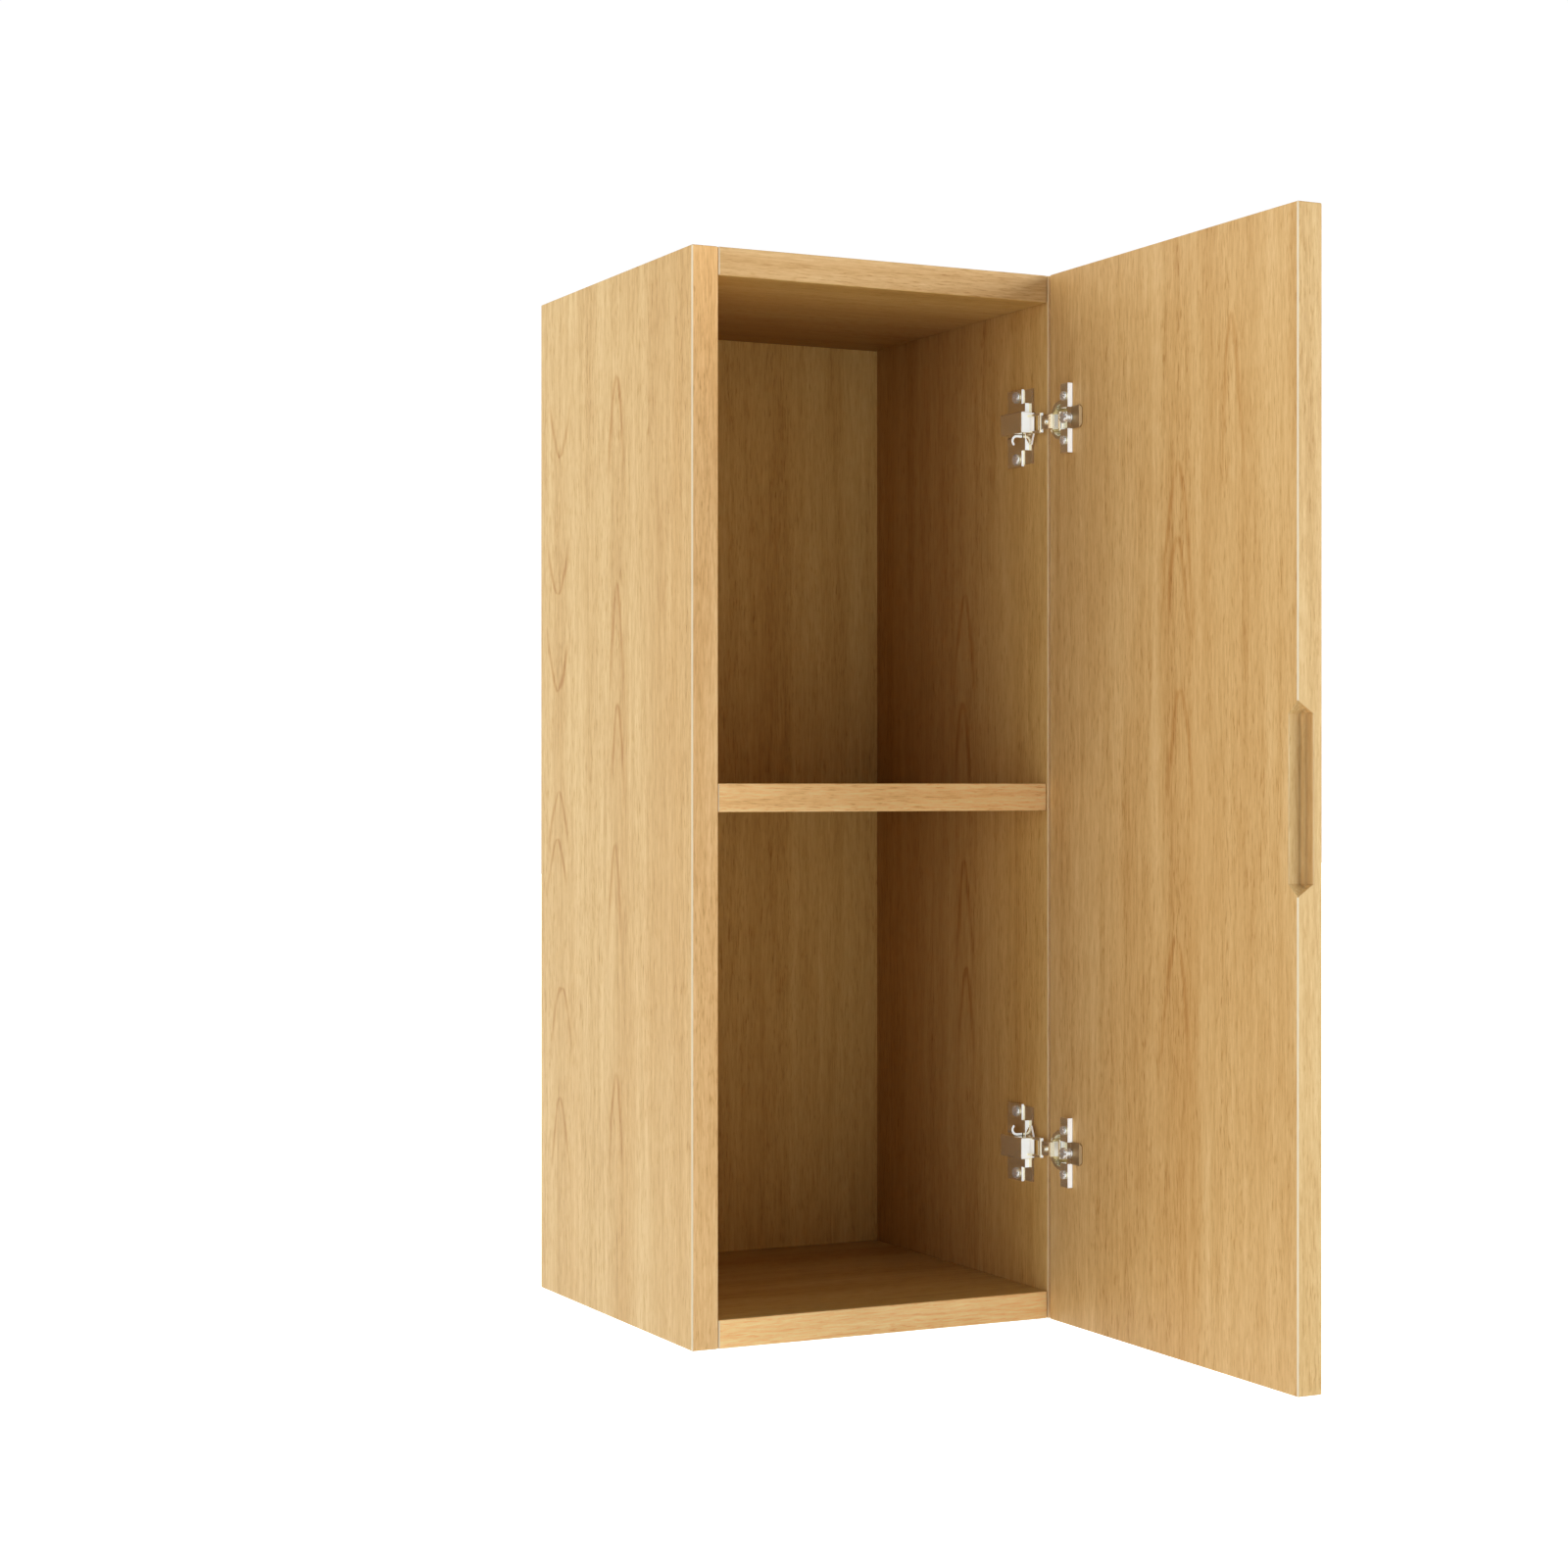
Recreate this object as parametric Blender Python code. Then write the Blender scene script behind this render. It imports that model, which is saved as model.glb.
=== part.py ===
"""Hanging wall cabinet: one compartment box with a fixed shelf and one door.

The door hangs on two concealed hinges and stands open at a right angle.
All helper functions take cabinet coordinates: X to the right from the left
outer face, Y to the back from the front edges, Z up from the underside.
The model's own origin is the middle of the top hanging rail's rear face,
which lies on the wall.
"""

from math import cos, hypot, pi, radians, sin, sqrt

import bmesh
import bpy
from mathutils import Vector

for old_object in list(bpy.data.objects):
    bpy.data.objects.remove(old_object, do_unlink=True)

# Carcass, in metres
WIDTH = 0.3048
HEIGHT = 0.7620
BOARD = 0.0200              # thickness of sides, top, bottom and shelf
BACK_FRONT = 0.2663         # front face of the back panel
BACK_THICK = 0.0060
RAIL_THICK = 0.0127
RAIL_HEIGHT = 0.0700
GAP = 0.0003                # play between pieces that touch
ARRIS = 0.0009              # rounding of the boards' long edges
GROOVE_DEPTH = 0.0050
SHELF_SETBACK = 0.0010
DEPTH = BACK_FRONT + BACK_THICK + GAP + RAIL_THICK

# Door
DOOR_THICK = 0.0190
DOOR_REVEAL = 0.0010        # door is this much narrower than the box on each side
DOOR_GAP = 0.0030           # closed door to front edges, and open door's edge to them
DOOR_WIDTH = WIDTH - 2 * DOOR_REVEAL

# Finger pull routed into the arris of the free edge
PULL_LENGTH = 0.1260
PULL_FLAT = 0.1090          # stretch with the full section
PULL_REACH = 0.0097         # on the inner face
PULL_DEPTH = 0.0120         # on the edge face
PULL_WALL_FOOT = (0.0092, 0.0066)       # where the steep wall ends
PULL_RIDGE = (0.0070, 0.0100)           # ridge between the two coves of the floor
PULL_FLOOR = (0.0046, 0.0119)           # where the floor turns flat
PULL_ROUND = 0.0007                     # rounding of the recess's rim

# Dowels
DOWEL_RADIUS = 0.0040
DOWEL_LENGTH = 0.0300
DOWEL_IN_SIDE = 0.0110

# Hinges; the cup pivot and the arm pivot are set out further down
HINGE_FROM_TOP = 0.1077
HINGE_FROM_BOTTOM = 0.1248
CUP_CENTRE = 0.0160         # cup axis from the door's hinge edge
CUP_RADIUS = 0.0127
CUP_WALL = 0.0010
CUP_DEPTH = 0.0110
PIN_RADIUS = 0.0012
KNUCKLE_RADIUS = 0.0020
LINK_HALF_WIDTH = 0.0050
LINK_HALF_THICK = 0.0009
LINK_LENGTH = 0.0200        # arm pivot from the door's centre of rotation
CUP_PIVOT_REACH = 0.0060    # cup pivot from the door's centre of rotation

# Mounting plate, arm block and lever; heights are from the hinge's middle
PLATE_HALF = 0.0285
PLATE_FRONT = 0.0330
PLATE_REAR = 0.0530
PLATE_THICK = 0.0020
PLATE_LIP_FRONT = 0.0190
PLATE_LIP_THICK = 0.0006
PLATE_RAISED_FRONT = 0.0250
PLATE_RAISED_REAR = 0.0500
PLATE_RAISED_HALF = 0.0173
PLATE_RAISED_THICK = 0.0038
PLATE_SCREW = 0.0230        # height of each screw
PLATE_SCREW_Y = 0.0400
BLOCK_OFFSET = 0.0020
BLOCK_HALF = 0.0079
BLOCK_FRONT = 0.0160
BLOCK_REAR = 0.0460
BLOCK_THICK = 0.0128        # left face from the side's inner face
BLOCK_SEAT = 0.0043         # its rear face from the plate's rear face
EAR_THICK = 0.0016
LEVER_THICK = 0.0008
LEVER_RIM = 0.0036
LEVER_FRONT = 0.0285
LEVER_REAR = 0.0345

# Cup flange; Y values are those of the open door
FLANGE_HALF = 0.0250
FLANGE_BAR = 0.0040         # how proud the flange's wings stand
FLANGE_NEAR = -0.0250
FLANGE_FAR = -0.0348
FLANGE_TAIL = -0.0480
FLANGE_SCREW = 0.0160       # height of each screw
FLANGE_SCREW_Y = -0.0298
TAIL_HALF = 0.0080
TAIL_CORNER = 0.0022
TAIL_THICK = 0.0013
CUP_RIM = 0.0142
CAM_Y = -0.0338

RAIL_CENTRE_Z = HEIGHT - BOARD - GAP - RAIL_HEIGHT / 2
ORIGIN = Vector((WIDTH / 2, DEPTH, RAIL_CENTRE_Z))

# Planes that the door and the hinges are set out from
INNER_RIGHT = WIDTH - BOARD                     # inner face of the right side
DOOR_INNER = INNER_RIGHT + 0.0001               # open door's inner face
DOOR_EDGE = -DOOR_GAP                           # open door's hinge edge
CLOSED_EDGE = WIDTH - DOOR_REVEAL               # closed door's hinge edge
PLATE_FACE = INNER_RIGHT - GAP                  # rear face of the mounting plate
BLOCK_LEFT = INNER_RIGHT - BLOCK_THICK
FLANGE_FACE = DOOR_INNER - GAP                  # face of the cup flange against the door

# A quarter turn about this point carries the open door onto the closed one.
TURN_X = (DOOR_INNER - DOOR_GAP + CLOSED_EDGE - DOOR_EDGE) / 2
TURN_Y = (DOOR_INNER - DOOR_GAP - CLOSED_EDGE + DOOR_EDGE) / 2
ARM_PIVOT = Vector((TURN_X - LINK_LENGTH / sqrt(2), TURN_Y + LINK_LENGTH / sqrt(2)))
CUP_PIVOT = Vector((TURN_X - CUP_PIVOT_REACH, TURN_Y))
LINK_BEND = ARM_PIVOT + Vector((0.0014, -0.0110))
CUP_Y = DOOR_EDGE - CUP_CENTRE


# Materials ---------------------------------------------------------------

def principled(name, color, roughness, metallic):
    material = bpy.data.materials.new(name)
    material.use_nodes = True
    shader = material.node_tree.nodes["Principled BSDF"]
    shader.inputs["Base Color"].default_value = (*color, 1.0)
    shader.inputs["Roughness"].default_value = roughness
    shader.inputs["Metallic"].default_value = metallic
    return material


OAK = (0.56, 0.38, 0.20)
BACK_OAK = (0.52, 0.34, 0.17)
BEECH = (0.62, 0.46, 0.28)
NICKEL = (0.80, 0.78, 0.74)
STEEL = (0.72, 0.71, 0.69)


def material_for(name, kind):
    looks = {
        "oak": (OAK, 0.45, 0.0),
        "back": (BACK_OAK, 0.5, 0.0),
        "beech": (BEECH, 0.6, 0.0),
        "nickel": (NICKEL, 0.15, 1.0),
        "steel": (STEEL, 0.25, 1.0),
    }
    color, roughness, metallic = looks[kind]
    return principled(name, color, roughness, metallic)


# Mesh helpers ------------------------------------------------------------

def add_box(mesh, low, high):
    corners = bmesh.ops.create_cube(mesh, size=1.0)["verts"]
    for vert in corners:
        vert.co = Vector(
            high[axis] if vert.co[axis] > 0 else low[axis] for axis in range(3)
        )


def add_prism(mesh, outline, low, high, place):
    """Extrude a closed outline from low to high; place(u, v, w) gives a point."""
    bottom = [mesh.verts.new(place(u, v, low)) for u, v in outline]
    face = mesh.faces.new(bottom)
    extruded = bmesh.ops.extrude_face_region(mesh, geom=[face])["geom"]
    offset = Vector(place(0, 0, high)) - Vector(place(0, 0, low))
    for item in extruded:
        if isinstance(item, bmesh.types.BMVert):
            item.co += offset
    bmesh.ops.recalc_face_normals(mesh, faces=mesh.faces[:])


def add_turned(mesh, profile, centre, axis, segments):
    """Turn (radius, height) pairs about an axis through centre; ends are on the axis."""
    turn_axis = Vector(axis)
    side = Vector((0, 0, 1)) if abs(turn_axis.z) < 0.5 else Vector((1, 0, 0))
    across = turn_axis.cross(side)
    rings = []
    for radius, height in profile:
        middle = Vector(centre) + turn_axis * height
        if radius == 0:
            rings.append([mesh.verts.new(middle)])
            continue
        ring = []
        for step in range(segments):
            angle = 2 * pi * step / segments
            ring.append(mesh.verts.new(middle + radius * (side * cos(angle) + across * sin(angle))))
        rings.append(ring)
    for first, second in zip(rings, rings[1:]):
        for step in range(segments):
            after = (step + 1) % segments
            corners = [first[step % len(first)], first[after % len(first)]]
            corners += [second[after % len(second)], second[step % len(second)]]
            distinct = list(dict.fromkeys(corners))
            mesh.faces.new(distinct)
    bmesh.ops.recalc_face_normals(mesh, faces=mesh.faces[:])


def rod_profile(radius, length, chamfer):
    return [
        (0, 0), (radius - chamfer, 0), (radius, chamfer),
        (radius, length - chamfer), (radius - chamfer, length), (0, length),
    ]


def arc(centre, radius, start, end, steps):
    """Points on an arc, angles in degrees."""
    points = []
    for step in range(steps + 1):
        angle = radians(start + (end - start) * step / steps)
        points.append((centre[0] + radius * cos(angle), centre[1] + radius * sin(angle)))
    return points


# Object helpers ----------------------------------------------------------

BODIES = {}


def add_body(name, pivot):
    """An empty on a joint's axis, which carries the pieces that turn with it."""
    empty = bpy.data.objects.new(name, None)
    empty.location = Vector(pivot) - ORIGIN
    empty.empty_display_size = 0.02
    bpy.context.scene.collection.objects.link(empty)
    BODIES[name] = empty


def add_object(name, mesh, kind, body=None):
    """Turn a bmesh in cabinet coordinates into a named object of the model."""
    bmesh.ops.recalc_face_normals(mesh, faces=mesh.faces[:])
    points = [vert.co - ORIGIN for vert in mesh.verts]
    if body:
        place = BODIES[body].location.copy()
    else:
        low = Vector(min(point[axis] for point in points) for axis in range(3))
        high = Vector(max(point[axis] for point in points) for axis in range(3))
        place = (low + high) / 2
    for vert, point in zip(mesh.verts, points):
        vert.co = point - place
    data = bpy.data.meshes.new(name)
    mesh.to_mesh(data)
    mesh.free()
    made = bpy.data.objects.new(name, data)
    bpy.context.scene.collection.objects.link(made)
    if kind:
        data.materials.append(material_for(name, kind))
    if body:
        made.parent = BODIES[body]
    else:
        made.location = place
    return made


def smooth(made, angle=35):
    made.data.shade_smooth()
    made.data.set_sharp_from_angle(angle=radians(angle))


def add_boolean(target, name, mesh, operation, body=None):
    """Cut a tool out of the target, or join it to the target."""
    tool = add_object(name, mesh, None, body)
    tool.hide_render = True
    tool.display_type = "WIRE"
    modifier = target.modifiers.new(name, "BOOLEAN")
    modifier.operation = operation
    modifier.solver = "EXACT"
    modifier.object = tool


def add_bevel(made, width, segments=2):
    modifier = made.modifiers.new("arris", "BEVEL")
    modifier.width = width
    modifier.segments = segments
    modifier.limit_method = "ANGLE"
    modifier.angle_limit = radians(40)


def board(name, low, high, kind="oak", body=None):
    mesh = bmesh.new()
    add_box(mesh, low, high)
    made = add_object(name, mesh, kind, body)
    add_bevel(made, ARRIS)
    return made


# Carcass -----------------------------------------------------------------

SHELF_LOW = HEIGHT / 2 - BOARD / 2
LEVELS = {
    "bottom": 0.0,
    "shelf": SHELF_LOW,
    "top": HEIGHT - BOARD,
}
DOWEL_SETS = [
    (level, height, front)
    for level, height in LEVELS.items()
    for front in (0.045, 0.215)
]
LEFT_END = BOARD + GAP
RIGHT_END = INNER_RIGHT - GAP


def dowel_bores(mesh, joint_x, toward, depth, height, front):
    """Bore from a board's end face at joint_x, going in the direction toward."""
    radius = DOWEL_RADIUS + GAP
    over = 0.002
    add_turned(
        mesh, [(0, -over), (radius, -over), (radius, depth), (0, depth)],
        (joint_x, front, height + BOARD / 2), (toward, 0, 0), 12,
    )


def add_side(name, low_x, high_x, inner_x, inward):
    made = board(name, (low_x, 0, 0), (high_x, DEPTH, HEIGHT))
    bores = bmesh.new()
    for _, height, front in DOWEL_SETS:
        dowel_bores(bores, inner_x, -inward, DOWEL_IN_SIDE + GAP, height, front)
    add_boolean(made, name + "_bores", bores, "DIFFERENCE")
    groove = bmesh.new()
    groove_edge = inner_x - inward * GROOVE_DEPTH
    mouth = inner_x + inward * 0.002
    add_box(
        groove,
        (min(groove_edge, mouth), BACK_FRONT - GAP, BOARD - GROOVE_DEPTH),
        (max(groove_edge, mouth), BACK_FRONT + BACK_THICK + GAP, HEIGHT - BOARD + GROOVE_DEPTH),
    )
    add_boolean(made, name + "_groove", groove, "DIFFERENCE")
    return made


def add_carcass():
    add_side("left_side_panel", 0, BOARD, BOARD, 1)
    add_side("right_side_panel", INNER_RIGHT, WIDTH, INNER_RIGHT, -1)
    for level, height in LEVELS.items():
        is_shelf = level == "shelf"
        front = SHELF_SETBACK if is_shelf else 0.0
        back = BACK_FRONT - GAP if is_shelf else DEPTH
        made = board(level + "_panel", (LEFT_END, front, height), (RIGHT_END, back, height + BOARD))
        bores = bmesh.new()
        bore_depth = DOWEL_LENGTH - DOWEL_IN_SIDE
        for _, _, dowel_front in [row for row in DOWEL_SETS if row[0] == level]:
            dowel_bores(bores, LEFT_END, 1, bore_depth, height, dowel_front)
            dowel_bores(bores, RIGHT_END, -1, bore_depth, height, dowel_front)
        add_boolean(made, level + "_bores", bores, "DIFFERENCE")
        if not is_shelf:
            groove = bmesh.new()
            inner = height + BOARD if level == "bottom" else height
            outward = -1 if level == "bottom" else 1
            far = inner + outward * GROOVE_DEPTH
            mouth = inner - outward * 0.002
            add_box(
                groove,
                (LEFT_END - 0.01, BACK_FRONT - GAP, min(far, mouth)),
                (RIGHT_END + 0.01, BACK_FRONT + BACK_THICK + GAP, max(far, mouth)),
            )
            add_boolean(made, level + "_groove", groove, "DIFFERENCE")
    mesh = bmesh.new()
    tongue = GROOVE_DEPTH - GAP
    add_box(
        mesh,
        (BOARD - tongue, BACK_FRONT, BOARD - tongue),
        (INNER_RIGHT + tongue, BACK_FRONT + BACK_THICK, HEIGHT - BOARD + tongue),
    )
    add_object("back_panel", mesh, "back")
    rail_front = BACK_FRONT + BACK_THICK + GAP
    for name, low_z in (
        ("top_hanging_rail", HEIGHT - BOARD - GAP - RAIL_HEIGHT),
        ("bottom_hanging_rail", BOARD + GAP),
    ):
        mesh = bmesh.new()
        add_box(mesh, (LEFT_END, rail_front, low_z), (RIGHT_END, DEPTH, low_z + RAIL_HEIGHT))
        add_object(name, mesh, "beech")


def add_dowels():
    for side, joint_x, toward in (("left", BOARD, 1), ("right", INNER_RIGHT, -1)):
        for level, height, front in DOWEL_SETS:
            depth_name = "front" if front < BACK_FRONT / 2 else "rear"
            mesh = bmesh.new()
            start = joint_x - toward * DOWEL_IN_SIDE
            add_turned(
                mesh, rod_profile(DOWEL_RADIUS, DOWEL_LENGTH, 0.0008),
                (start, front, height + BOARD / 2), (toward, 0, 0), 12,
            )
            made = add_object(f"dowel_{side}_{level}_{depth_name}", mesh, "beech")
            smooth(made)


# Door --------------------------------------------------------------------

def bowed(start, end, rise, steps):
    """Points on a curve from start to end that bows away from the arris by rise."""
    along = (end[0] - start[0], end[1] - start[1])
    length = hypot(*along)
    out = (along[1] / length, -along[0] / length)
    points = []
    for step in range(1, steps):
        share = step / steps
        lift = rise * sin(pi * share)
        points.append((
            start[0] + along[0] * share + out[0] * lift,
            start[1] + along[1] * share + out[1] * lift,
        ))
    return points


def pull_section():
    """Routed section, from the inner face round to the edge face.

    The first number of a pair is measured across the inner face and the
    second across the edge face, both from the arris.
    """
    rim_in = [
        (PULL_REACH + PULL_ROUND, 0.0), (PULL_REACH + PULL_ROUND * 0.3, PULL_ROUND * 0.3),
        (PULL_REACH, PULL_ROUND),
    ]
    rim_out = [
        (PULL_ROUND, PULL_DEPTH), (PULL_ROUND * 0.3, PULL_DEPTH + PULL_ROUND * 0.3),
        (0.0, PULL_DEPTH + PULL_ROUND),
    ]
    floor = [PULL_WALL_FOOT] + bowed(PULL_WALL_FOOT, PULL_RIDGE, 0.0009, 4) + [PULL_RIDGE]
    floor += bowed(PULL_RIDGE, PULL_FLOOR, 0.0006, 4) + [PULL_FLOOR]
    return rim_in + floor + rim_out


def add_pull_cutter(mesh):
    """Prism with a pyramid on each end, standing clear of the two door faces."""
    clear = 0.004
    free_edge = DOOR_EDGE - DOOR_WIDTH
    middle_z = HEIGHT / 2

    def point(across, deep, height):
        return (DOOR_INNER + deep, free_edge + across, middle_z + height)

    section = pull_section()
    outside = [(-clear, section[-1][1]), (-clear, -clear), (section[0][0], -clear)]
    ring = section + outside
    half_flat = PULL_FLAT / 2
    half_long = PULL_LENGTH / 2
    near = [mesh.verts.new(point(u, v, -half_flat)) for u, v in ring]
    far = [mesh.verts.new(point(u, v, half_flat)) for u, v in ring]
    count = len(ring)
    for step in range(count):
        after = (step + 1) % count
        mesh.faces.new([near[step], near[after], far[after], far[step]])
    tip_off = 0.0002
    for side, rim in ((-1, near), (1, far)):
        height = side * half_long
        tip = mesh.verts.new(point(-tip_off, -tip_off, height))
        left = mesh.verts.new(point(-clear, -tip_off, height))
        corner = mesh.verts.new(point(-clear, -clear, height))
        front = mesh.verts.new(point(-tip_off, -clear, height))
        last = len(section) - 1
        for step in range(last):
            mesh.faces.new([rim[step], rim[step + 1], tip])
        mesh.faces.new([rim[last], rim[last + 1], left, tip])
        mesh.faces.new([rim[last + 1], rim[last + 2], corner, left])
        mesh.faces.new([rim[last + 2], rim[last + 3], front, corner])
        mesh.faces.new([rim[last + 3], rim[0], tip, front])
        mesh.faces.new([tip, left, corner, front])
    bmesh.ops.recalc_face_normals(mesh, faces=mesh.faces[:])


def add_door():
    door = board(
        "door_panel",
        (DOOR_INNER, DOOR_EDGE - DOOR_WIDTH, 0),
        (DOOR_INNER + DOOR_THICK, DOOR_EDGE, HEIGHT),
        body="door",
    )
    cutter = bmesh.new()
    add_pull_cutter(cutter)
    add_boolean(door, "finger_pull_cut", cutter, "DIFFERENCE", "door")
    bores = bmesh.new()
    for hinge_z in HINGE_HEIGHTS.values():
        radius = CUP_RADIUS + GAP
        add_turned(
            bores, [(0, -0.002), (radius, -0.002), (radius, CUP_DEPTH + GAP), (0, CUP_DEPTH + GAP)],
            (DOOR_INNER, CUP_Y, hinge_z), (1, 0, 0), 40,
        )
    add_boolean(door, "cup_bores", bores, "DIFFERENCE", "door")


# Hinges ------------------------------------------------------------------

HINGE_HEIGHTS = {
    "lower": HINGE_FROM_BOTTOM,
    "upper": HEIGHT - HINGE_FROM_TOP,
}
HINGE_SIGN = {"lower": -1, "upper": 1}      # the lower hinge is mounted upside down


def flat_place(u, v, w):
    """Outline in X and Y, extruded along Z."""
    return (u, v, w)


def side_place(u, v, w):
    """Outline in Y and Z, extruded along X."""
    return (w, u, v)


def add_mounting_plate(end, z):
    """Winged plate screwed to the side, with a raised middle that the arm clips on."""
    name = f"{end}_hinge_mounting_plate"
    mesh = bmesh.new()
    add_box(
        mesh, (PLATE_FACE - PLATE_THICK, PLATE_FRONT, z - PLATE_HALF),
        (PLATE_FACE, PLATE_REAR, z + PLATE_HALF),
    )
    plate = add_object(name, mesh, "nickel")
    lip = bmesh.new()
    lip_face = PLATE_FACE - PLATE_LIP_THICK
    wedge = [
        (PLATE_FACE, PLATE_LIP_FRONT), (lip_face, PLATE_LIP_FRONT + 0.002),
        (lip_face, PLATE_FRONT + 0.001), (PLATE_FACE, PLATE_FRONT + 0.001),
    ]
    add_prism(lip, wedge, z - PLATE_HALF + 0.001, z + PLATE_HALF - 0.001, flat_place)
    add_boolean(plate, name + "_lip", lip, "UNION")
    raised = bmesh.new()
    add_box(
        raised, (PLATE_FACE - PLATE_RAISED_THICK, PLATE_RAISED_FRONT, z - PLATE_RAISED_HALF),
        (PLATE_FACE, PLATE_RAISED_REAR, z + PLATE_RAISED_HALF),
    )
    add_boolean(plate, name + "_raised", raised, "UNION")
    holes = bmesh.new()
    for side in (-1, 1):
        add_turned(
            holes, rod_profile(0.0026, 0.008, 0),
            (PLATE_FACE - 0.006, PLATE_SCREW_Y, z + side * PLATE_SCREW), (1, 0, 0), 20,
        )
    add_boolean(plate, name + "_holes", holes, "DIFFERENCE")
    for side, word in ((-1, "low"), (1, "high")):
        add_pan_screw(
            f"{end}_plate_screw_{word}",
            (PLATE_FACE - PLATE_THICK - GAP, PLATE_SCREW_Y, z + side * PLATE_SCREW),
            0.0042, 0.0023, 0.0022, 0.0019, None,
        )


def add_pan_screw(name, seat, head_radius, head_height, shank_radius, shank_length, body):
    """Screw whose head stands towards -X on the seat; a slot is cut across the head."""
    mesh = bmesh.new()
    profile = [
        (0, -head_height), (head_radius * 0.55, -head_height),
        (head_radius * 0.88, -head_height * 0.75), (head_radius, -head_height * 0.35),
        (head_radius, 0), (shank_radius, 0), (shank_radius, shank_length), (0, shank_length),
    ]
    add_turned(mesh, profile, seat, (1, 0, 0), 20)
    made = add_object(name, mesh, "steel", body)
    slot = bmesh.new()
    half = head_radius * 1.2
    width = 0.0005
    add_box(
        slot, (seat[0] - head_height - 0.001, seat[1] - half, seat[2] - width),
        (seat[0] - head_height + 0.0008, seat[1] + half, seat[2] + width),
    )
    add_boolean(made, name + "_slot", slot, "DIFFERENCE", body)
    smooth(made)


def ear_outline():
    """Side view of an arm ear: from the block's front down to the round pivot end."""
    x, y = ARM_PIVOT
    root_left = BLOCK_LEFT + 0.0050
    root_right = PLATE_FACE
    round_end = arc((x, y), KNUCKLE_RADIUS, 200, 380, 12)
    return round_end + [(root_right, y + 0.009), (root_right, BLOCK_FRONT + 0.002),
                        (root_left, BLOCK_FRONT + 0.002)]


def add_arm(end, z, sign):
    """Arm: a block on the mounting plate and two ears that hold the pivot pin."""
    name = f"{end}_hinge_arm"
    middle = z + sign * BLOCK_OFFSET
    mesh = bmesh.new()
    add_box(
        mesh, (BLOCK_LEFT, BLOCK_FRONT, middle - BLOCK_HALF),
        (PLATE_FACE - BLOCK_SEAT, BLOCK_REAR, middle + BLOCK_HALF),
    )
    arm = add_object(name, mesh, "nickel")
    add_bevel(arm, 0.0007)
    foot = bmesh.new()
    add_box(
        foot, (PLATE_FACE - 0.0060, BLOCK_FRONT + 0.0003, middle - BLOCK_HALF + 0.0008),
        (PLATE_FACE - 0.0012, 0.0247, middle + BLOCK_HALF - 0.0008),
    )
    add_boolean(arm, name + "_foot", foot, "UNION")
    for side in (-1, 1):
        ear = bmesh.new()
        outer = z + side * (LINK_HALF_WIDTH + 0.0005 + EAR_THICK)
        inner = z + side * (LINK_HALF_WIDTH + 0.0005)
        add_prism(ear, ear_outline(), min(outer, inner), max(outer, inner), flat_place)
        add_boolean(arm, f"{name}_ear_{side + 1}", ear, "UNION")
    gusset = bmesh.new()
    edge = middle - sign * (BLOCK_HALF - 0.0012)
    outline = [
        (BLOCK_FRONT - 0.005, edge), (BLOCK_FRONT + 0.006, edge),
        (BLOCK_FRONT + 0.006, edge - sign * 0.004), (BLOCK_FRONT + 0.001, edge - sign * 0.010),
        (BLOCK_FRONT - 0.001, edge - sign * 0.010),
    ]
    add_prism(gusset, outline, PLATE_FACE - 0.0050, PLATE_FACE - 0.0035, side_place)
    add_boolean(arm, name + "_gusset", gusset, "UNION")
    hole = bmesh.new()
    x, y = ARM_PIVOT
    add_turned(hole, rod_profile(PIN_RADIUS + GAP, 0.024, 0), (x, y, z - 0.012), (0, 0, 1), 20)
    add_boolean(arm, name + "_pin_hole", hole, "DIFFERENCE")


def add_release_lever(end, z, sign):
    """Curved spring lever beside the block that frees the arm from its plate."""
    mesh = bmesh.new()
    foot_x = PLATE_FACE - BLOCK_SEAT
    bend_x = BLOCK_LEFT + LEVER_RIM
    lever_z = z + sign * BLOCK_OFFSET - sign * (BLOCK_HALF + 0.0012)

    def outline(offset):
        turn = arc((bend_x, -LEVER_RIM), LEVER_RIM + offset, 90, 235, 8)
        return [(foot_x, offset)] + turn

    outer = outline(LEVER_THICK)
    inner = outline(-LEVER_THICK)
    points = [(u, lever_z + sign * v) for u, v in outer + inner[::-1]]
    add_prism(mesh, points, LEVER_FRONT, LEVER_REAR, lambda u, v, w: (u, w, v))
    made = add_object(f"{end}_hinge_release_lever", mesh, "nickel")
    smooth(made)


def add_pin(name, pivot, z, half, body):
    mesh = bmesh.new()
    add_turned(
        mesh, rod_profile(PIN_RADIUS, 2 * half, 0.0002),
        (pivot[0], pivot[1], z - half), (0, 0, 1), 16,
    )
    smooth(add_object(name, mesh, "steel", body))


def strap_side(points, offset):
    """The polyline moved sideways by offset, with mitred corners."""
    moved = []
    for index, point in enumerate(points):
        before = points[max(index - 1, 0)]
        after = points[min(index + 1, len(points) - 1)]
        first = (point - before).normalized() if index > 0 else (after - point).normalized()
        second = (after - point).normalized() if index < len(points) - 1 else first
        along = (first + second).normalized()
        scale = 1 / max(along.dot(first), 0.5)
        moved.append(point + Vector((-along.y, along.x)) * offset * scale)
    return [(point.x, point.y) for point in moved]


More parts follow.
